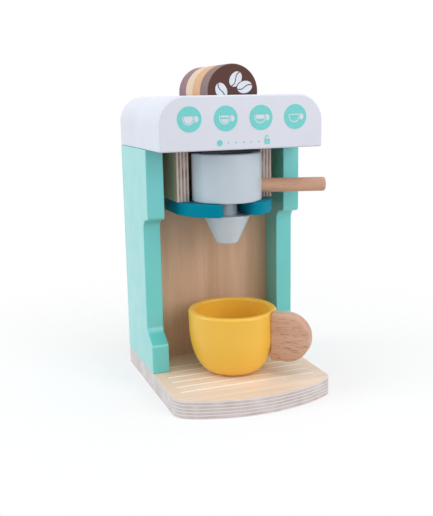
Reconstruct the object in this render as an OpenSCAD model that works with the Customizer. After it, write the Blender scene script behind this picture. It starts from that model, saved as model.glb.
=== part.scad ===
/* [Body] */
// Width over the two side boards, also the width of the head and the base
body_w = 140; // [130:1:170]
// Thickness of each side board
side_t = 15; // [12:0.5:18]
// Depth of each side board, front to back
side_depth = 85; // [78:1:100]
// Height of each side board
side_h = 194.5; // [180:0.5:230]
// How far the waist of a side board is cut back from its front edge
waist_cut = 15; // [8:0.5:20]
// Height of the foot of a side board, below its sloping shoulder
foot_h = 25; // [15:0.5:40]
// Height of the sloping shoulder between the foot and the waist
shoulder_h = 10; // [6:0.5:16]
// Height of the lip at the top of a side board
lip_h = 59.5; // [50:0.5:70]
// Thickness of the base board
base_t = 15.5; // [12:0.5:20]
// Depth of the base board at its middle, front to back
base_depth = 168; // [160:1:200]
// Radius of the base board's bowed front edge
bow_r = 143; // [120:1:300]
// Radius of the base board's front corners
base_corner_r = 14; // [6:0.5:20]
// Height of the head block
head_h = 43; // [38:0.5:55]
// How far the head block reaches out in front of the side boards
head_reach = 43; // [36:1:56]
// Radius of the head block's two upper edges
head_r = 22; // [10:0.5:26]
// Thickness of the back board
back_t = 6; // [4:0.5:9]
// Distance from the rear of the side boards to the front face of the back board
back_inset = 45.5; // [30:0.5:48]
// Depth of the grooves that hold the back board
groove_depth = 5; // [3:0.5:7]

/* [Filter holder] */
// Gap between each cheek and the side board beside it
cheek_aside = 11.6; // [8:0.2:14]
// Height of the filter bowl
bowl_h = 40.6; // [36:0.2:41]
// Depth of the recess in the filter bowl
bowl_recess = 20; // [12:0.5:20]
// Thickness of the filter bowl's wall
bowl_wall = 7; // [5:0.5:8]
// How far the filter bowl's axis stands in front of the cheeks
bowl_ahead = 3; // [2:0.5:12]
// Gap between the filter bowl and each cheek
cheek_gap = 2.8; // [1.5:0.1:4]
// Thickness of each cheek
cheek_t = 10.6; // [9:0.1:12]
// Height of each cheek
cheek_h = 45.3; // [43:0.1:52]
// Thickness of the fork plate
fork_t = 10.8; // [8:0.1:14]
// How far the fork plate reaches out in front of the filter bowl
fork_lip = 1.7; // [0:0.1:6]
// Radius of the rounded corners at the mouth of the fork's slot
mouth_r = 6; // [3:0.5:7]
// Diameter of the neck that passes through the fork's slot
neck_d = 18; // [14:0.5:18]
// Gap between the neck and each side of the fork's slot
slot_gap = 3; // [1.5:0.5:4]
// Diameter of the spout cone at its top
cone_top_d = 41.4; // [32:0.2:44]
// Diameter of the spout cone at its tip
cone_tip_d = 18.4; // [14:0.2:24]
// Height of the spout cone
cone_h = 25; // [18:0.5:30]
// Gap between the fork plate and the spout cone
cone_gap = 1.2; // [0.6:0.2:6]
// Diameter of the handle
handle_d = 12; // [9:0.5:13]
// Distance from the axis of the filter bowl to the end of the handle
handle_reach = 85; // [75:1:95]
// Height of the handle's axis above the bottom of the filter bowl
handle_z = 12; // [8:0.2:12.4]
// Angle of the handle in front of square to the right, at rest
handle_angle = 18; // [12:1:40]

/* [Coffee discs] */
// Number of coffee discs standing in the head
disc_n = 4; // [2:1:4]
// Thickness of a coffee disc
disc_t = 18.8; // [12:0.2:19]
// Height of a disc's centre above the top of the head
disc_rise = 3; // [0:0.5:6]
// Distance from the front of the head to the front disc
disc_from_front = 22.5; // [12:0.5:26]

/* [Cup] */
// Diameter of the cup at its rim
cup_d = 77; // [64:0.5:80]
// Height of the cup
cup_h = 56; // [46:0.5:60]
// Thickness of the cup's wall at its rim
cup_wall = 6; // [4:0.5:8]
// Diameter of the cup's flat foot
cup_foot_d = 36; // [24:0.5:40]
// Height of the cup's round lower part
cup_round_h = 42; // [30:0.5:44]
// Height of the cup's grip
grip_d = 42; // [36:0.5:44]
// Thickness of the cup's grip
grip_t = 12; // [9:0.5:14]
// Distance from the axis of the cup to the end of its grip
grip_reach = 70.6; // [66:0.1:76]
// Angle of the grip in front of square to the right
grip_angle = 41; // [0:1:60]
// How far the cup's axis stands in front of the filter bowl's axis
cup_ahead = 9.5; // [0:0.5:20]

/* [Print and fasteners] */
// Diameter of each round button print
icon_d = 20; // [14:0.5:22]
// Distance from the base's front edge to the first printed tray line
line_from_front = 33.2; // [26:0.2:40]
// Distance from the back board to the last printed tray line
line_from_back = 29.3; // [24:0.1:40]
// Number of printed tray lines
line_n = 6; // [3:1:6]
// Length of a tray line
line_len = 121; // [100:1:124]
// Width of a tray line
line_w = 2; // [1:0.1:3]
// Thickness of the print on the head and on the front disc
ink_t = 0.2; // [0.1:0.05:0.4]
// Diameter of the wooden dowels in the head
dowel_d = 8; // [6:0.5:9]
// Length of the wooden dowels in the head
dowel_len = 30; // [20:1:40]
// Distance of the dowels and screws from the front and rear of the side boards
fixing_inset = 18; // [12:1:24]
// Diameter of a wood screw's shank
screw_d = 4; // [3:0.1:5]
// Length of the screws through the base board
base_screw_len = 40; // [30:1:60]
// Length of the screws through the fork plate
fork_screw_len = 28; // [20:1:35]

/* [Hidden] */
$fn = 96;
// Clearance of a glued joint, of a running joint and of a loose fit, on each side
glue_gap = 0.05;
run_gap = 0.08;
loose_gap = 0.3;
slide_gap = 0.2;
disc_slack = 1;
edge_r = 1.5;
arc_steps = 12;

rear_y = base_depth / 2;
inner_x = body_w / 2 - side_t;
head_z = base_t + side_h;
head_top = head_z + head_h;
side_front = rear_y - side_depth;
head_front = side_front - head_reach;
head_depth = side_depth + head_reach;
back_y = rear_y - back_inset;

cheek_outer = inner_x - cheek_aside;
cheek_inner = cheek_outer - cheek_t;
cheek_front = side_front;
cheek_depth = back_y - cheek_front;
bowl_d = 2 * (cheek_inner - cheek_gap);
bowl_y = cheek_front - bowl_ahead;
hollow_r = bowl_d / 2 - bowl_wall;

fork_top = head_z - cheek_h;
fork_z = fork_top - fork_t;
fork_front = bowl_y - bowl_d / 2 - fork_lip;
fork_round_y = fork_front + cheek_outer;
slot_w = neck_d + 2 * slot_gap;

bowl_z = fork_top + slide_gap;
neck_socket = 5.5;
cone_top = fork_z - cone_gap;
cone_socket = 14;
handle_root = neck_d * 2 / 3;

disc_d = 2 * (hollow_r - disc_slack);
disc_z = head_top + disc_rise;
disc_front = head_front + disc_from_front;
disc_pitch = disc_t + slide_gap;
trough_r = disc_d / 2 + loose_gap;

cup_y = bowl_y - cup_ahead;
cup_flat = cup_d / 2 - 2;
grip_below_rim = 1;

icon_z = head_z + head_h * 0.58;
icon_pitch = body_w * 0.216;
scale_z = head_z + head_h * 0.137;
dot_pitch = icon_pitch * 0.218;
dot_d = icon_d * 0.065;
big_dot_d = icon_d * 0.24;
first_line_y = rear_y - base_depth + line_from_front;
line_pitch = (back_y - line_from_back - first_line_y) / (line_n - 1);
short_line_len = 2 * inner_x - 2;
line_depth = 0.4;

// The points of an arc that rounds the corner at b, between a and c, with radius r
function corner_points(a, b, c, r) =
    let (
        u = (a - b) / norm(a - b),
        v = (c - b) / norm(c - b),
        half = acos(u * v) / 2,
        run = r / tan(half),
        centre = b + (u + v) / norm(u + v) * r / sin(half),
        p = b + u * run - centre,
        q = b + v * run - centre,
        from = atan2(p[1], p[0]),
        turn = atan2(p[0] * q[1] - p[1] * q[0], p * q)
    )
    [for (i = [0 : arc_steps]) let (t = from + turn * i / arc_steps) centre + r * [cos(t), sin(t)]];

// An outline whose corners are given as [x, y, radius]
function rounded(corners) = [
    for (i = [0 : len(corners) - 1])
        let (
            n = len(corners),
            b = corners[i],
            a = corners[(i + n - 1) % n],
            c = corners[(i + 1) % n]
        )
        each (b[2] > 0
            ? corner_points([a[0], a[1]], [b[0], b[1]], [c[0], c[1]], b[2])
            : [[b[0], b[1]]])
];

// Extrudes an outline drawn in Y and Z along X, centred on x
module across(x, width) {
    translate([x - width / 2, 0, 0])
        rotate([90, 0, 90])
            linear_extrude(width)
                children();
}

// Extrudes an outline drawn in X and Z backwards along Y, from y
module backwards(y, depth) {
    translate([0, y + depth, 0])
        rotate([90, 0, 0])
            linear_extrude(depth)
                children();
}

// A countersunk wood screw standing head down, its head's face at z = 0
module wood_screw(d, length) {
    head_d = 2 * d;
    head_drop = d / 2;
    rotate_extrude()
        polygon([[0, 0], [head_d / 2, 0], [head_d / 2, 0.4], [d / 2, 0.4 + head_drop],
            [d / 2, length - d], [0, length]]);
}

// The hole that a screw sits in, its head sunk below z = 0
module screw_hole(d, length, sink) {
    translate([0, 0, -1])
        cylinder(d = 2 * d + 2 * run_gap, h = 1 + sink + 0.4);
    translate([0, 0, sink + 0.4])
        cylinder(d1 = 2 * d + 2 * run_gap, d2 = d + 2 * run_gap, h = d / 2);
    cylinder(d = d + 2 * run_gap, h = sink + length + 0.5);
}

// Where the base's screws stand: two under each side board
module at_base_screws() {
    for (side = [-1, 1], d = [fixing_inset, side_depth - fixing_inset])
        translate([side * (body_w / 2 - side_t / 2), rear_y - d, 0])
            children();
}

// Where the fork's screws stand: two under each cheek
module at_fork_screws() {
    for (side = [-1, 1], share = [0.25, 0.75])
        translate([side * (cheek_inner + cheek_t / 2), back_y - share * cheek_depth, fork_z])
            children();
}

// Where the dowels cross the joint under the head, two in each side board
module at_side_dowels() {
    for (side = [-1, 1], d = [fixing_inset, side_depth - fixing_inset])
        translate([side * (body_w / 2 - side_t / 2), rear_y - d, head_z - dowel_len / 2])
            children();
}

// Where the thinner dowels cross the joint between each cheek and the head
module at_cheek_dowels() {
    for (side = [-1, 1])
        translate([side * (cheek_inner + cheek_t / 2), back_y - cheek_depth / 2, head_z - dowel_len / 3])
            children();
}

cheek_dowel_d = cheek_t * 0.55;

module dowel(d, length) {
    chamfer = 0.8;
    rotate_extrude()
        polygon([[0, 0], [d / 2 - chamfer, 0], [d / 2, chamfer], [d / 2, length - chamfer],
            [d / 2 - chamfer, length], [0, length]]);
}

// The back board's full outline, with its tongues in the grooves around it
module back_outline(slack) {
    grow = groove_depth + slack;
    translate([-inner_x - grow, base_t - grow])
        square([2 * (inner_x + grow), side_h + 2 * grow]);
}

module back_groove() {
    backwards(back_y - glue_gap, back_t + 2 * glue_gap)
        back_outline(glue_gap);
}

module base_outline() {
    drop = function (x) bow_r - sqrt(bow_r * bow_r - x * x);
    front = rear_y - base_depth;
    bow_steps = 16;
    bow_x = body_w / 2 - base_corner_r - 2;
    bow = [for (i = [bow_steps : -1 : -bow_steps]) let (x = bow_x * i / bow_steps) [x, front + drop(x), 0]];
    corner = front + drop(body_w / 2);
    polygon(rounded(concat(
        [[-body_w / 2, rear_y, 2], [body_w / 2, rear_y, 2], [body_w / 2, corner, base_corner_r]],
        bow,
        [[-body_w / 2, corner, base_corner_r]])));
}

// A tray line stops short of the side boards when it runs between them
function line_span(y) = y + line_w > side_front ? min(line_len, short_line_len) : line_len;

module tray_line_marks() {
    for (i = [0 : line_n - 1])
        translate([0, first_line_y + i * line_pitch])
            square([line_span(first_line_y + i * line_pitch), line_w], center = true);
}

module base_board() {
    color("burlywood")
        difference() {
            linear_extrude(base_t) base_outline();
            at_base_screws() screw_hole(screw_d, base_screw_len, slide_gap);
            back_groove();
            translate([0, 0, base_t - line_depth]) linear_extrude(1) tray_line_marks();
        }
}

module side_outline() {
    front = side_front;
    waist = front + waist_cut;
    lip_z = head_z - lip_h;
    shoulder_z = base_t + foot_h;
    hollow_corner_r = 9;
    polygon(rounded([
        [rear_y, base_t, 0], [front, base_t, 0], [front, shoulder_z, 3],
        [waist, shoulder_z + shoulder_h, hollow_corner_r], [waist, lip_z, waist_cut * 0.62],
        [front, lip_z, 3.5], [front, head_z, 0], [rear_y, head_z, 0]]));
}

module side_board(side) {
    color("mediumturquoise")
        difference() {
            across(side * (body_w / 2 - side_t / 2), side_t) side_outline();
            at_base_screws() screw_hole(screw_d, base_screw_len, slide_gap);
            at_side_dowels() translate([0, 0, -0.5]) cylinder(d = dowel_d + 2 * glue_gap, h = dowel_len + 1);
            back_groove();
        }
}

module back_board() {
    color("tan") backwards(back_y, back_t) back_outline(0);
}

module head_outline() {
    half = body_w / 2;
    polygon(rounded([[-half, head_z, edge_r], [half, head_z, edge_r],
        [half, head_top, head_r], [-half, head_top, head_r]]));
}

module head_block() {
    color("white")
        difference() {
            backwards(head_front, head_depth) head_outline();
            translate([0, disc_front - loose_gap, disc_z])
                rotate([-90, 0, 0])
                    cylinder(r = trough_r, h = disc_n * disc_pitch + 2 * loose_gap);
            at_side_dowels() translate([0, 0, -0.5]) cylinder(d = dowel_d + 2 * glue_gap, h = dowel_len + 1);
            at_cheek_dowels() translate([0, 0, -0.5])
                cylinder(d = cheek_dowel_d + 2 * glue_gap, h = dowel_len * 2 / 3 + 1);
            back_groove();
        }
}

module cheek(side) {
    color("wheat")
        difference() {
            translate([side * (cheek_inner + cheek_t / 2) - cheek_t / 2, cheek_front, fork_top])
                cube([cheek_t, cheek_depth, cheek_h]);
            at_cheek_dowels() translate([0, 0, -0.5])
                cylinder(d = cheek_dowel_d + 2 * glue_gap, h = dowel_len * 2 / 3 + 1);
            at_fork_screws() screw_hole(screw_d * 0.8, fork_screw_len, slide_gap);
        }
}

// The corner left outside a circle of radius mouth_r that rounds the slot's mouth
module mouth_corner(side) {
    x = slot_w / 2 + mouth_r;
    y = fork_round_y - sqrt(pow(cheek_outer - mouth_r, 2) - x * x);
    touch_x = x * cheek_outer / (cheek_outer - mouth_r);
    difference() {
        translate([side > 0 ? slot_w / 2 : -touch_x, y - 2 * mouth_r])
            square([touch_x - slot_w / 2, 2 * mouth_r]);
        translate([side * x, y]) circle(mouth_r);
    }
}

module fork_outline() {
    difference() {
        union() {
            translate([0, fork_round_y]) circle(cheek_outer);
            translate([-cheek_outer, fork_round_y]) square([2 * cheek_outer, back_y - fork_round_y]);
        }
        translate([-cheek_outer - 1, back_y]) square([2 * cheek_outer + 2, cheek_outer + 1]);
        translate([0, bowl_y]) circle(d = slot_w);
        translate([-slot_w / 2, bowl_y - base_depth]) square([slot_w, base_depth]);
        mouth_corner(-1);
        mouth_corner(1);
    }
}

module fork_plate() {
    color("teal")
        difference() {
            translate([0, 0, fork_z]) linear_extrude(fork_t) fork_outline();
            at_fork_screws() screw_hole(screw_d * 0.8, fork_screw_len, slide_gap);
        }
}

// Places a rod's shape along the handle's line, out from the filter bowl's axis
module along_handle() {
    translate([0, bowl_y, bowl_z + handle_z])
        rotate([0, 0, -handle_angle])
            rotate([0, 90, 0])
                children();
}

module filter_bowl() {
    r = bowl_d / 2;
    floor_z = bowl_h - bowl_recess;
    color("lightsteelblue")
        difference() {
            translate([0, bowl_y, bowl_z])
                rotate_extrude()
                    polygon(rounded([[0, 0, 0], [r, 0, edge_r], [r, bowl_h, edge_r],
                        [hollow_r, bowl_h, edge_r], [hollow_r, floor_z, 2], [0, floor_z, 0]]));
            translate([0, bowl_y, bowl_z - 1]) cylinder(d = neck_d + 2 * run_gap, h = neck_socket + 1);
            along_handle() translate([0, 0, handle_root]) cylinder(d = handle_d + 2 * glue_gap, h = bowl_d);
        }
}

module filter_handle() {
    r = handle_d / 2;
    color("peru")
        along_handle()
            translate([0, 0, handle_root + glue_gap])
                rotate_extrude()
                    polygon(rounded([[0, 0, 0], [r, 0, 0.8],
                        [r, handle_reach - handle_root, 2.2], [0, handle_reach - handle_root, 0]]));
}

module spout_neck() {
    bottom = cone_top - cone_socket;
    color("lightsteelblue")
        translate([0, bowl_y, bottom + glue_gap])
            dowel(neck_d, bowl_z + neck_socket - bottom - 2 * glue_gap - run_gap);
}

module spout_cone() {
    top_r = cone_top_d / 2;
    tip_r = cone_tip_d / 2;
    color("lightsteelblue")
        difference() {
            translate([0, bowl_y, cone_top - cone_h])
                rotate_extrude()
                    polygon(rounded([[0, 0, 0], [tip_r, 0, 2.5], [top_r, cone_h, 1], [0, cone_h, 0]]));
            translate([0, bowl_y, cone_top - cone_socket])
                cylinder(d = neck_d + 2 * glue_gap, h = cone_socket + 1);
        }
}

// One coffee disc, counted from the front of the head
module coffee_disc(i, tint) {
    soft = 1;
    color(tint)
        translate([0, disc_front + i * disc_pitch, disc_z])
            rotate([-90, 0, 0])
                rotate_extrude()
                    polygon(rounded([[0, 0, 0], [disc_d / 2, 0, soft],
                        [disc_d / 2, disc_t, soft], [0, disc_t, 0]]));
}

// The points of a cup's side, rounded from its foot up to a straight upper part
function cup_curve(foot_r, r, z, h) =
    [for (i = [0 : arc_steps]) let (t = 90 * i / arc_steps)
        [foot_r + (r - foot_r) * sin(t), z + h * (1 - cos(t)), 0]];

// The cup's half outline, up the outside and down the inside
function cup_outline() =
    let (
        r = cup_d / 2,
        inner_foot_r = cup_foot_d / 2 - cup_wall * 0.7,
        inside = cup_curve(inner_foot_r, r - cup_wall - 0.4, cup_wall, cup_round_h - cup_wall)
    )
    rounded(concat([[0, 0, 0]], cup_curve(cup_foot_d / 2, r - 0.4, 0, cup_round_h),
        [[r, cup_h, cup_wall * 0.4], [r - cup_wall, cup_h, cup_wall * 0.4]],
        [for (i = [arc_steps : -1 : 0]) inside[i]], [[0, cup_wall, 0]]));

module at_cup() {
    translate([0, cup_y, base_t]) children();
}

// Places a shape at the middle of the grip, its own Z running out from the cup
module along_grip() {
    at_cup()
        translate([0, 0, cup_h - grip_d / 2 - grip_below_rim])
            rotate([0, 0, -grip_angle])
                rotate([0, 90, 0])
                    children();
}

grip_dowel_d = grip_t * 0.5;
grip_dowel_len = 14;
grip_dowel_root = cup_d / 2 - cup_wall * 0.65;

module grip_dowel_hole() {
    along_grip()
        translate([0, 0, grip_dowel_root - glue_gap])
            cylinder(d = grip_dowel_d + 2 * glue_gap, h = grip_dowel_len + 2 * glue_gap);
}

module cup_bowl() {
    color("gold")
        difference() {
            at_cup() rotate_extrude() polygon(cup_outline());
            along_grip() translate([-grip_d, -grip_d / 2, cup_flat]) cube([2 * grip_d, grip_d, grip_d]);
            grip_dowel_hole();
        }
}

// A flat plate with a straight edge at the cup and a round outer end
module cup_grip() {
    r = grip_d / 2;
    edge = cup_flat + glue_gap;
    color("peru")
        difference() {
            along_grip()
                translate([0, grip_t / 2, 0])
                    rotate([90, 0, 0])
                        linear_extrude(grip_t)
                            intersection() {
                                union() {
                                    translate([0, grip_reach - r]) circle(r);
                                    translate([-r, 0]) square([grip_d, grip_reach - r]);
                                }
                                translate([-r, edge]) square([grip_d, grip_reach]);
                            }
            grip_dowel_hole();
        }
}

module cup_grip_dowel() {
    color("wheat")
        along_grip()
            translate([0, 0, grip_dowel_root])
                dowel(grip_dowel_d, grip_dowel_len);
}

module side_dowels() {
    color("wheat") at_side_dowels() dowel(dowel_d, dowel_len);
}

module cheek_dowels() {
    color("wheat") at_cheek_dowels() dowel(cheek_dowel_d, dowel_len * 2 / 3);
}

module base_screws() {
    color("silver") at_base_screws() translate([0, 0, slide_gap]) wood_screw(screw_d, base_screw_len);
}

module fork_screws() {
    color("silver") at_fork_screws() translate([0, 0, slide_gap]) wood_screw(screw_d * 0.8, fork_screw_len);
}

module tray_lines() {
    color("ivory") translate([0, 0, base_t - line_depth]) linear_extrude(line_depth) tray_line_marks();
}

// Lays a drawing in X and Z on the front of the head
module on_head() {
    backwards(head_front - ink_t, ink_t) children();
}

// A small cup seen from the side, with bands of drink given as depths below its rim
module cup_sign(bands) {
    r = icon_d / 4;
    rim = r * 0.4;
    wall = icon_d / 20;
    gap = icon_d / 60;
    difference() {
        cup_sign_bowl(r, rim);
        cup_sign_bowl(r - wall, rim);
    }
    intersection() {
        cup_sign_bowl(r - wall - gap, rim);
        for (band = bands)
            translate([-r, rim - band[1]]) square([2 * r, band[1] - band[0]]);
    }
    intersection() {
        translate([r + wall, -gap]) circle(r * 0.5, $fn = 32);
        translate([r + gap / 2, -r]) square([r, 2 * r]);
    }
}

// The bowl of a cup sign: straight sides over a half circle, open at the rim
module cup_sign_bowl(r, rim) {
    intersection() {
        circle(r, $fn = 48);
        translate([-r, -r]) square([2 * r, r]);
    }
    translate([-r, -0.01]) square([2 * r, rim + 0.01]);
}

module button_prints() {
    drinks = [[[0, icon_d]], [[0, 1.6], [2.8, icon_d]], [[0, 3.4]], [[0, 1]]];
    color("mediumturquoise")
        on_head()
            for (i = [0 : 3])
                translate([(i - 1.5) * icon_pitch, icon_z])
                    difference() {
                        circle(d = icon_d);
                        translate([-icon_d * 0.04, icon_d * 0.02]) cup_sign(drinks[i]);
                    }
}

module padlock_sign() {
    lock_w = icon_d * 0.23;
    lock_h = lock_w * 0.9;
    shackle_r = lock_w * 0.37;
    hole_r = shackle_r * 0.53;
    difference() {
        square([lock_w, lock_h], center = true);
        square([lock_w * 0.17, lock_h * 0.52], center = true);
    }
    translate([lock_w * -0.065, lock_h * 0.8])
        difference() {
            union() {
                circle(shackle_r, $fn = 32);
                translate([-shackle_r, -lock_h * 0.35]) square([2 * shackle_r, lock_h * 0.35]);
            }
            circle(hole_r, $fn = 32);
            translate([-hole_r, -lock_h / 2]) square([lock_w, lock_h / 2]);
        }
}

// A row of dots from a large one to an open padlock, over the swing of the handle
module scale_print() {
    color("mediumturquoise")
        on_head() {
            translate([-3.1 * dot_pitch, scale_z]) circle(d = big_dot_d, $fn = 48);
            for (i = [-2 : 2])
                translate([i * dot_pitch, scale_z]) circle(d = dot_d, $fn = 24);
            translate([3.1 * dot_pitch, scale_z]) padlock_sign();
        }
}

// The points of a bean's crease, a shallow S drawn along X
function crease(half_len, swing, w) =
    let (side = function (i, w) [i * half_len / 8, swing * sin(22.5 * i) + w])
    concat([for (i = [-8 : 8]) side(i, w / 2)], [for (i = [8 : -1 : -8]) side(i, -w / 2)]);

// A coffee bean: an oval parted by its crease
module bean(b) {
    half_len = disc_d * 0.15;
    difference() {
        bean_oval(b, 0);
        translate([b[0], b[1]] * disc_d)
            rotate(b[2])
                polygon(crease(half_len * 1.06, half_len / 6, half_len / 8));
    }
}

module bean_oval(b, grow) {
    half_len = disc_d * 0.15 + grow;
    translate([b[0], b[1]] * disc_d)
        rotate(b[2])
            scale([1, 0.74]) circle(half_len, $fn = 48);
}

// Three beans, the last lying partly over the one above it
module bean_print() {
    beans = [[-0.227, 0.01, 113], [0.057, 0.218, 55], [0.236, 0.073, 12]];
    color("gainsboro")
        backwards(disc_front - ink_t, ink_t)
            translate([0, disc_z]) {
                bean(beans[0]);
                bean(beans[2]);
                difference() {
                    bean(beans[1]);
                    bean_oval(beans[2], disc_d / 50);
                }
            }
}

base_board();
side_board(-1);  // left_side_board
side_board(1);  // right_side_board
back_board();
head_block();
cheek(-1);  // left_cheek
cheek(1);  // right_cheek
fork_plate();
filter_bowl();
filter_handle();
spout_neck();
spout_cone();
coffee_disc(0, "saddlebrown");  // coffee_disc_front
coffee_disc(1, "sandybrown");  // coffee_disc_second
coffee_disc(2, "navajowhite");  // coffee_disc_third
coffee_disc(3, "rosybrown");  // coffee_disc_rear
cup_bowl();
cup_grip();
cup_grip_dowel();
side_dowels();
cheek_dowels();
base_screws();
fork_screws();
tray_lines();
button_prints();
scale_print();
bean_print();
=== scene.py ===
"""Looks of the toy coffee machine: plywood, beech, satin paint and flat prints on the frame."""

import math

import bpy
from mathutils import Matrix, Vector


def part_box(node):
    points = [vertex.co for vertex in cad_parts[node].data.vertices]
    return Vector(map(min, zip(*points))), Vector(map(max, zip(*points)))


MM = 0.001
X, Y, Z = 0, 1, 2

# The camera that took the photograph, solved from the machine's own edges
PHOTO_SIZE = (433, 516)
CAMERA_AT = (-0.2330, -0.6124, 0.2509)
CAMERA_TURN, CAMERA_PITCH, CAMERA_ROLL = 20.1, -11.88, -1.04
FOCAL_PIXELS = 761.1
SENSOR_MM = 36

# How strongly the surroundings light the object; the camera and reflections see them at 1
ROOM_LIGHT = 0.56
LAMPS_AIM_AT = (0, 0, 0.13)
# Each lamp: place, width and height in metres, watts, colour
LAMPS = {
    "key": ((0.75, -1.25, 0.76), (1.0, 1.0), 9.2, (1, 1, 1)),
    "side": ((-1.6, 0.2, 0.8), (1.0, 1.2), 13, (0.84, 0.95, 1)),
    "top": ((0.1, -0.2, 1.5), (1.2, 1.2), 6.2, (1, 1, 1)),
}

FLOOR_REACH = 1.6
FLOOR_COLOUR = (0.93, 0.93, 0.94, 1)
# The floor lets half of the white surroundings through at its middle, and all of them further out
FLOOR_FADE_FROM, FLOOR_FADE_TO = 0.05, 0.5
FLOOR_CLEAR_AT_MIDDLE = 0.5

# Degrees by which the beech pieces are turned, so that their grain follows them
HANDLE_TURN = -18
GRIP_TURN = -41

# Each paint: its nodes, its colour, and what sets it apart from plain satin
PAINTS = {
    "mint": (["left_side_board", "right_side_board"], "#66CECC", {"rough": 0.34, "coat": 0.9}),
    "white": (["head_block"], "#DCDFEB", {"coat": 0.35}),
    "grey": (["filter_bowl", "spout_neck", "spout_cone"], "#C4CFD8", {"rough": 0.38}),
    "petrol": (["fork_plate"], "#00869F", {"rough": 0.4, "specular": 0.04, "coat": 0}),
    "yellow": (["cup_bowl"], "#F6C144", {"rough": 0.36, "grain": 0.1, "specular": 0.4}),
    # The front and rear discs' rim colours are painted light: their turned sides drawn lighter, as
    # if lit
    "dark_brown": (["coffee_disc_front"], "#5A3B35",
                   {"rough": 0.5, "specular": 0.15, "coat": 0, "rim": "#8A6F70"}),
    "tan": (["coffee_disc_second"], "#D9A678", {"rough": 0.5, "coat": 0}),
    "cream": (["coffee_disc_third"], "#E4C7AB", {"rough": 0.5, "coat": 0}),
    "mauve": (["coffee_disc_rear"], "#6A4A4F",
              {"rough": 0.5, "specular": 0.25, "coat": 0, "rim": "#8D6C76"}),
}

INKS = {
    "line_ink": (["tray_lines"], "#FFFCF8"),
    "button_ink": (["button_prints", "scale_print"], "#6ECFCB"),
    "bean_ink": (["bean_print"], "#D9DFE8"),
}

# Each plywood: its node, the axis across its thickness, the axis of its grain, how many plies,
# the face's light, middle and dark tones, the edge's pale and dark plies, and the pale ones' share
CHEEK_FACE = ("#E4D2B8", "#D5C1A5", "#B7A285")
BIRCH_EDGE = ("#D6C5BE", "#7D6258")
PLYWOODS = {
    "base_ply": ("base_board", Z, X, 11,
                 ("#F3E4D5", "#EDD7C3", "#E0C5AB"), ("#EAE2E0", "#C4B6B3"), 0.22),
    "back_ply": ("back_board", Y, Z, 5, ("#E3BFA4", "#D5AE90", "#BF9577"), BIRCH_EDGE, 0.44),
    "left_cheek_ply": ("left_cheek", X, Z, 7, CHEEK_FACE, BIRCH_EDGE, 0.44),
    "right_cheek_ply": ("right_cheek", X, Z, 7, CHEEK_FACE, BIRCH_EDGE, 0.44),
}

# Each solid wood: its nodes, its tones, the axis and the turn of its grain, and how strongly its
# figure and its flecks show
WOODS = {
    "handle_beech": (["filter_handle"], ("#D7AB8E", "#CA9C81", "#AF8166"),
                     X, -HANDLE_TURN, 0.7, 0.3),
    "grip_beech": (["cup_grip"], ("#DDB69C", "#CFA389", "#B4866B"), X, -GRIP_TURN, 0.7, 0.75),
    "dowel_birch": (["side_dowels", "cheek_dowels", "cup_grip_dowel"],
                    ("#EAD6B8", "#DEC5A2", "#C6A985"), Z, 0, 0.3, 0.3),
}

STEEL_NODES = ["base_screws", "fork_screws"]
STEEL_TONES = ((0.45, 0.45, 0.46, 1), (0.62, 0.62, 0.63, 1))

# Width of each board's rounded edges; the base board's run only along its outline
BASE_EDGE = 0.8 * MM
EDGES = {
    "left_side_board": 0.8 * MM, "right_side_board": 0.8 * MM, "head_block": 1.4 * MM,
    "left_cheek": 0.5 * MM, "right_cheek": 0.5 * MM, "fork_plate": 1.2 * MM,
    "cup_grip": 1.6 * MM, "back_board": 0.2 * MM,
}
# An edge is sharp enough to round where its faces turn by more than this
SHARP_DEGREES = 35
# Facets are joined first where they turn by less than this
FLAT_DEGREES = 0.6
WELD_REACH = 0.02 * MM


def linear(hex_colour):
    """A colour picked from the screen, as the shader's linear values."""
    def curve(c):
        return c / 12.92 if c <= 0.04045 else ((c + 0.055) / 1.055) ** 2.4

    return tuple(curve(int(hex_colour[i : i + 2], 16) / 255) for i in (1, 3, 5)) + (1,)


def scaled(colour, factor):
    return tuple(min(1, c * factor) for c in colour[:3]) + (1,)


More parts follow.
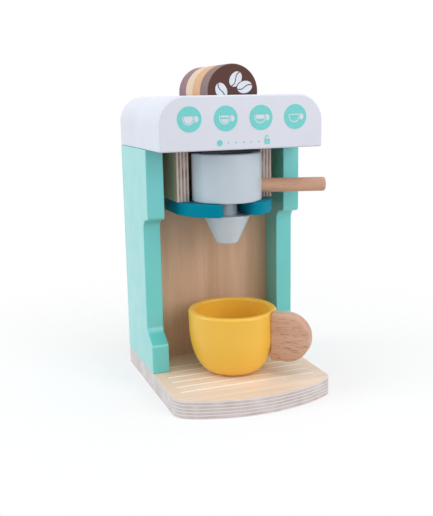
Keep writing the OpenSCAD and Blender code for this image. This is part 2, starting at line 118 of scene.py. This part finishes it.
class Shader:
    """A material that is built node by node around one Principled shader."""

    def __init__(self, name):
        self.material = bpy.data.materials.new(name)
        self.material.use_nodes = True
        self.tree = self.material.node_tree
        self.surface = self.tree.nodes["Principled BSDF"]
        self.place = self.add("ShaderNodeTexCoord")

    def add(self, kind, inputs=None, **settings):
        made = self.tree.nodes.new(kind)
        for name, value in settings.items():
            setattr(made, name, value)
        for key, value in (inputs or {}).items():
            self.put(made.inputs[key], value)
        return made

    def put(self, socket, value):
        if isinstance(value, bpy.types.NodeSocket):
            self.tree.links.new(value, socket)
        else:
            socket.default_value = value

    def set(self, **values):
        for name, value in values.items():
            self.put(self.surface.inputs[name.replace("_", " ")], value)

    def math(self, operation, a, b=0.0):
        return self.add("ShaderNodeMath", {0: a, 1: b}, operation=operation).outputs[0]

    def axis(self, source, axis):
        """One axis of a texture coordinate, such as Object or Normal."""
        return self.add("ShaderNodeSeparateXYZ", {0: self.place.outputs[source]}).outputs[axis]

    def coords(self, stretch=(1, 1, 1), turn=0):
        """The piece's own coordinates, turned about the upright in degrees and then stretched."""
        turned = self.add("ShaderNodeMapping", {"Vector": self.place.outputs["Object"],
                                                "Rotation": (0, 0, math.radians(turn))})
        made = self.add("ShaderNodeMapping", {"Vector": turned.outputs[0], "Scale": stretch})
        return made.outputs[0]

    def noise(self, vector, scale, detail=3.0, rough=0.5, lean=0.0):
        """Noise from 0 to 1, about as many cells to the metre as its scale says."""
        made = self.add("ShaderNodeTexNoise", {"Vector": vector, "Scale": scale, "Detail": detail,
                                               "Roughness": rough, "Distortion": lean})
        return made.outputs["Fac"]

    def ramp(self, value, *stops):
        """Colours along a value; each stop is (place, colour)."""
        made = self.add("ShaderNodeValToRGB", {"Fac": value})
        marks = made.color_ramp.elements
        while len(marks) < len(stops):
            marks.new(0.5)
        for mark, (place, colour) in zip(marks, stops):
            mark.position, mark.color = place, colour
        return made.outputs["Color"]

    def fade(self, value, low, high, start=0.0, end=1.0):
        """Runs from start to end while the value runs from low to high."""
        made = self.add("ShaderNodeMapRange", {"Value": value, "From Min": low, "From Max": high,
                                               "To Min": start, "To Max": end})
        return made.outputs[0]

    def mix(self, amount, a, b):
        made = self.add("ShaderNodeMix", {"Factor": amount}, data_type="RGBA")
        self.put(made.inputs[6], a)
        self.put(made.inputs[7], b)
        return made.outputs[2]

    def bump(self, height, depth, strength):
        made = self.add("ShaderNodeBump", {"Height": height, "Distance": depth,
                                           "Strength": strength})
        self.set(Normal=made.outputs[0])


def paint(name, colour, rough=0.42, grain=0.35, specular=0.5, coat=0.25, rim=None):
    """Satin paint rolled on wood: a fine orange peel, a faint grain below it and a slow change of
    tone. A painted lit rim is painted light: a disc's turned side is drawn lighter, as if lit,
    though it has the same paint as the faces."""
    s = Shader(name)
    tone = linear(colour)
    drift = s.noise(s.coords(), scale=18, detail=2)
    base = s.ramp(drift, (0.3, scaled(tone, 0.95)), (0.7, scaled(tone, 1.03)))
    # Painted light: a disc's side takes a lighter colour as if lit, though it has the faces' paint
    if rim:
        on_face = s.fade(s.math("ABSOLUTE", s.axis("Normal", Y)), 0.6, 0.95)
        base = s.mix(on_face, linear(rim), base)
    speck = s.noise(s.coords(), scale=2600, detail=1)
    s.set(Base_Color=s.mix(s.fade(speck, 0.55, 0.75, 0, 0.06), base, scaled(tone, 0.9)))
    sheen = s.noise(s.coords(), scale=60)
    s.set(Roughness=s.fade(sheen, 0.3, 0.7, rough - 0.06, rough + 0.06))
    peel = s.noise(s.coords(), scale=900, detail=2)
    below = s.noise(s.coords((1, 1, 0.06)), scale=700)
    s.bump(s.math("ADD", peel, s.math("MULTIPLY", below, grain)), 0.05 * MM, 0.5)
    s.set(Specular_IOR_Level=specular, Coat_Weight=coat, Coat_Roughness=0.25)
    return s


def veneer(s, tones, along, turn=0, figured=1.0, flecks=0.5):
    """The face of a board: a long soft figure, fine pores and short flecks along the grain."""
    light, mid, dark = (linear(tone) for tone in tones)

    def grain(squeeze, scale, detail, **more):
        stretch = tuple(squeeze if axis == along else 1 for axis in (X, Y, Z))
        return s.noise(s.coords(stretch, turn), scale, detail, **more)

    figure = s.ramp(grain(0.07, 70, 4, rough=0.55, lean=0.6), (0.3, dark), (0.5, mid), (0.7, light))
    base = s.mix(figured, mid, figure)
    pores = grain(0.04, 1700, 2)
    base = s.mix(s.fade(pores, 0.45, 0.75, 0, 0.1 + 0.35 * flecks), base, dark)
    reddish = tuple(c * share for c, share in zip(dark, (0.6, 0.42, 0.36))) + (1,)
    return s.mix(s.fade(grain(0.08, 1700, 1), 0.59, 0.7, 0, flecks), base, reddish), pores


def plies(s, across, count, low, high, tones, pale):
    """A board's sawn edge: layers of alternate grain, with thin glue lines and broken fibres."""
    light, dark = (linear(tone) for tone in tones)
    waver = s.fade(s.noise(s.coords(), scale=45, detail=2), 0, 1, -0.14, 0.14)
    depth = s.math("SUBTRACT", s.axis("Object", across), low)
    pairs_to_metre = count / (high - low) / 2
    pair = s.math("ADD", s.math("MULTIPLY", depth, pairs_to_metre), waver)
    bands = s.ramp(s.math("FRACT", pair), (0.0, light), (pale, light), (pale + 0.06, dark),
                   (0.94, dark), (1.0, light))
    bleached = s.fade(s.noise(s.coords(), scale=70), 0.35, 0.65, 0.55, 0)
    bands = s.mix(bleached, bands, light)
    stretch = tuple(4 if axis == across else 0.5 for axis in (X, Y, Z))
    fibre = s.noise(s.coords(stretch), scale=500, detail=4, rough=0.7)
    broken = s.mix(s.fade(fibre, 0.5, 0.75, 0, 0.25), bands, dark)
    from_glue = s.math("PINGPONG", s.math("MULTIPLY", pair, 2), 0.5)
    return s.mix(s.fade(from_glue, 0.0, 0.07, 0.45, 0), broken, scaled(dark, 0.55))


def plywood(name, node, across, along, count, face, edge, pale):
    """Plywood: veneer on the two faces across its thickness, plies on every other side."""
    s = Shader(name)
    low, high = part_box(node)
    veneered, pores = veneer(s, face, along, figured=0.6, flecks=0.1)
    sawn = plies(s, across, count, low[across], high[across], edge, pale)
    on_face = s.fade(s.math("ABSOLUTE", s.axis("Normal", across)), 0.72, 0.82)
    s.set(Base_Color=s.mix(on_face, sawn, veneered), Roughness=s.fade(pores, 0.3, 0.7, 0.44, 0.58))
    s.bump(pores, 0.06 * MM, 0.35)
    return s


def solid_wood(name, tones, along, turn, figured, flecks):
    s = Shader(name)
    base, pores = veneer(s, tones, along, turn, figured, flecks)
    s.set(Base_Color=base, Roughness=s.fade(pores, 0.3, 0.7, 0.4, 0.54))
    s.bump(pores, 0.08 * MM, 0.4)
    return s


def ink(name, colour):
    """A flat screen print: even colour with a faint dry edge and the wood's unevenness below it."""
    s = Shader(name)
    tone = linear(colour)
    dry = s.noise(s.coords(), scale=420)
    s.set(Base_Color=s.ramp(dry, (0.35, tone), (0.8, scaled(tone, 1.08))))
    s.set(Roughness=s.fade(s.noise(s.coords(), scale=300, detail=2), 0.3, 0.7, 0.42, 0.52))
    s.bump(s.noise(s.coords(), scale=900, detail=2), 0.04 * MM, 0.4)
    return s


def steel(name):
    s = Shader(name)
    brushed = s.noise(s.coords((1, 1, 0.2)), scale=2200, detail=2)
    s.set(Base_Color=s.ramp(brushed, (0.3, STEEL_TONES[0]), (0.7, STEEL_TONES[1])), Metallic=1.0)
    s.set(Roughness=s.fade(brushed, 0.3, 0.7, 0.28, 0.42))
    s.bump(brushed, 0.03 * MM, 0.4)
    return s


def soften(node, width, only=None):
    """Rounds a CAD node's sharp edges, or only the chosen ones, without moving a vertex."""
    node.modifiers.new("weld", "WELD").merge_threshold = WELD_REACH
    flat = node.modifiers.new("flat", "DECIMATE")
    flat.decimate_type, flat.angle_limit = "DISSOLVE", math.radians(FLAT_DEGREES)
    edge = node.modifiers.new("edge", "BEVEL")
    edge.width, edge.segments, edge.use_clamp_overlap = width, 3, False
    if only:
        edge.limit_method = "WEIGHT"
        weight = node.data.attributes.new("bevel_weight_edge", "FLOAT", "EDGE")
        points = [vertex.co for vertex in node.data.vertices]
        for line in node.data.edges:
            weight.data[line.index].value = float(only(*(points[i] for i in line.vertices)))
    else:
        edge.limit_method, edge.angle_limit = "ANGLE", math.radians(SHARP_DEGREES)
    for face in node.data.polygons:
        face.use_smooth = True
    node.modifiers.new("even", "WEIGHTED_NORMAL").keep_sharp = True


def along_outline(board):
    """Tells whether an edge runs along the outline of a board's faces, and not beside a recess."""
    heights = {}
    for vertex in board.data.vertices:
        spot = (round(vertex.co.x, 5), round(vertex.co.y, 5))
        heights.setdefault(spot, set()).add(round(vertex.co.z, 5))
    levels = {z for found in heights.values() for z in found}
    ends = {min(levels), max(levels)}
    outline = {spot for spot, found in heights.items() if ends <= found}

    def chosen(a, b):
        level = round(a.z, 5) in ends and abs(a.z - b.z) < 1e-5
        return level and all((round(co.x, 5), round(co.y, 5)) in outline for co in (a, b))

    return chosen


def dress(nodes):
    looks = {}
    for name, (wearers, colour, finish) in PAINTS.items():
        looks.update(dict.fromkeys(wearers, paint(name, colour, **finish)))
    for name, (wearers, colour) in INKS.items():
        looks.update(dict.fromkeys(wearers, ink(name, colour)))
    for name, (wearers, *grown) in WOODS.items():
        looks.update(dict.fromkeys(wearers, solid_wood(name, *grown)))
    for name, (node, *layers) in PLYWOODS.items():
        looks[node] = plywood(name, node, *layers)
    looks.update(dict.fromkeys(STEEL_NODES, steel("steel")))
    for name, node in nodes.items():
        for slot in node.material_slots:
            slot.material = looks[name].material

    soften(nodes["base_board"], BASE_EDGE, only=along_outline(nodes["base_board"]))
    for name, width in EDGES.items():
        soften(nodes[name], width)


def camera():
    turn, pitch, roll = (math.radians(a) for a in (CAMERA_TURN, CAMERA_PITCH, CAMERA_ROLL))
    level = Vector((math.cos(turn), -math.sin(turn), 0))
    ahead = Vector((math.sin(turn) * math.cos(pitch), math.cos(turn) * math.cos(pitch),
                    math.sin(pitch)))
    upright = level.cross(ahead)
    right = math.cos(roll) * level + math.sin(roll) * upright
    up = -math.sin(roll) * level + math.cos(roll) * upright
    data = bpy.data.cameras.new("camera")
    data.sensor_width = SENSOR_MM
    data.lens = FOCAL_PIXELS / max(PHOTO_SIZE) * SENSOR_MM
    made = bpy.data.objects.new("camera", data)
    facing = Matrix((right, up, -ahead)).transposed().to_4x4()
    made.matrix_world = Matrix.Translation(CAMERA_AT) @ facing
    bpy.context.scene.collection.objects.link(made)
    bpy.context.scene.camera = made


def softbox(name, at, size, power, colour):
    data = bpy.data.lights.new(name, "AREA")
    data.shape, data.size, data.size_y = "RECTANGLE", size[0], size[1]
    data.energy, data.color = power, colour
    made = bpy.data.objects.new(name, data)
    made.location = at
    made.rotation_euler = (Vector(LAMPS_AIM_AT) - Vector(at)).to_track_quat("-Z", "Y").to_euler()
    bpy.context.scene.collection.objects.link(made)


def studio():
    """White surroundings for the camera and reflections, dimmer for the light that they give."""
    world = bpy.data.worlds.new("studio")
    bpy.context.scene.world = world
    world.use_nodes = True
    tree = world.node_tree
    path = tree.nodes.new("ShaderNodeLightPath")
    seen = path.outputs["Is Camera Ray"]
    for kind in ("Is Glossy Ray", "Is Transmission Ray"):
        either = tree.nodes.new("ShaderNodeMath")
        either.operation = "MAXIMUM"
        tree.links.new(seen, either.inputs[0])
        tree.links.new(path.outputs[kind], either.inputs[1])
        seen = either.outputs[0]
    strength = tree.nodes.new("ShaderNodeMapRange")
    strength.inputs["To Min"].default_value = ROOM_LIGHT
    strength.inputs["To Max"].default_value = 1.0
    tree.links.new(seen, strength.inputs["Value"])
    back = tree.nodes["Background"]
    back.inputs["Color"].default_value = (1, 1, 1, 1)
    tree.links.new(strength.outputs[0], back.inputs["Strength"])
    for name, (at, size, power, colour) in LAMPS.items():
        softbox(name, at, size, power, colour)


def floor():
    """A pale sweep that fades into the white surroundings, so that only the shadow shows. From
    below it is clear."""
    signs = ((-1, -1), (1, -1), (1, 1), (-1, 1))
    corners = [(x * FLOOR_REACH, y * FLOOR_REACH, 0) for x, y in signs]
    mesh = bpy.data.meshes.new("floor")
    mesh.from_pydata(corners, [], [(0, 1, 2, 3)])
    made = bpy.data.objects.new("floor", mesh)
    bpy.context.scene.collection.objects.link(made)
    s = Shader("floor")
    s.set(Base_Color=FLOOR_COLOUR, Roughness=0.9)
    away = s.add("ShaderNodeVectorMath", {0: s.place.outputs["Object"]}, operation="LENGTH")
    fading = s.add("ShaderNodeMapRange", {
        "Value": away.outputs["Value"], "From Min": FLOOR_FADE_FROM, "From Max": FLOOR_FADE_TO,
        "To Min": FLOOR_CLEAR_AT_MIDDLE, "To Max": 1.0}, interpolation_type="SMOOTHSTEP")
    below = s.add("ShaderNodeNewGeometry").outputs["Backfacing"]
    clear = s.add("ShaderNodeBsdfTransparent")
    both = s.add("ShaderNodeMixShader", {"Fac": s.math("MAXIMUM", fading.outputs[0], below)})
    s.tree.links.new(s.surface.outputs[0], both.inputs[1])
    s.tree.links.new(clear.outputs[0], both.inputs[2])
    s.tree.links.new(both.outputs[0], s.tree.nodes["Material Output"].inputs["Surface"])
    mesh.materials.append(s.material)


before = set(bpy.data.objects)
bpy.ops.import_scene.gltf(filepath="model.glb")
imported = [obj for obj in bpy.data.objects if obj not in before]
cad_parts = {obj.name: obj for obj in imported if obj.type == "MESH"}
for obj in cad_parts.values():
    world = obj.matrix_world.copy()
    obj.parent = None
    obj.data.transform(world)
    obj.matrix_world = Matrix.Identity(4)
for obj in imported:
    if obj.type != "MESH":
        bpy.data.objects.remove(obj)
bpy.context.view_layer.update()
dress(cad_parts)
camera()
studio()
floor()
bpy.context.scene.view_settings.view_transform = "Standard"
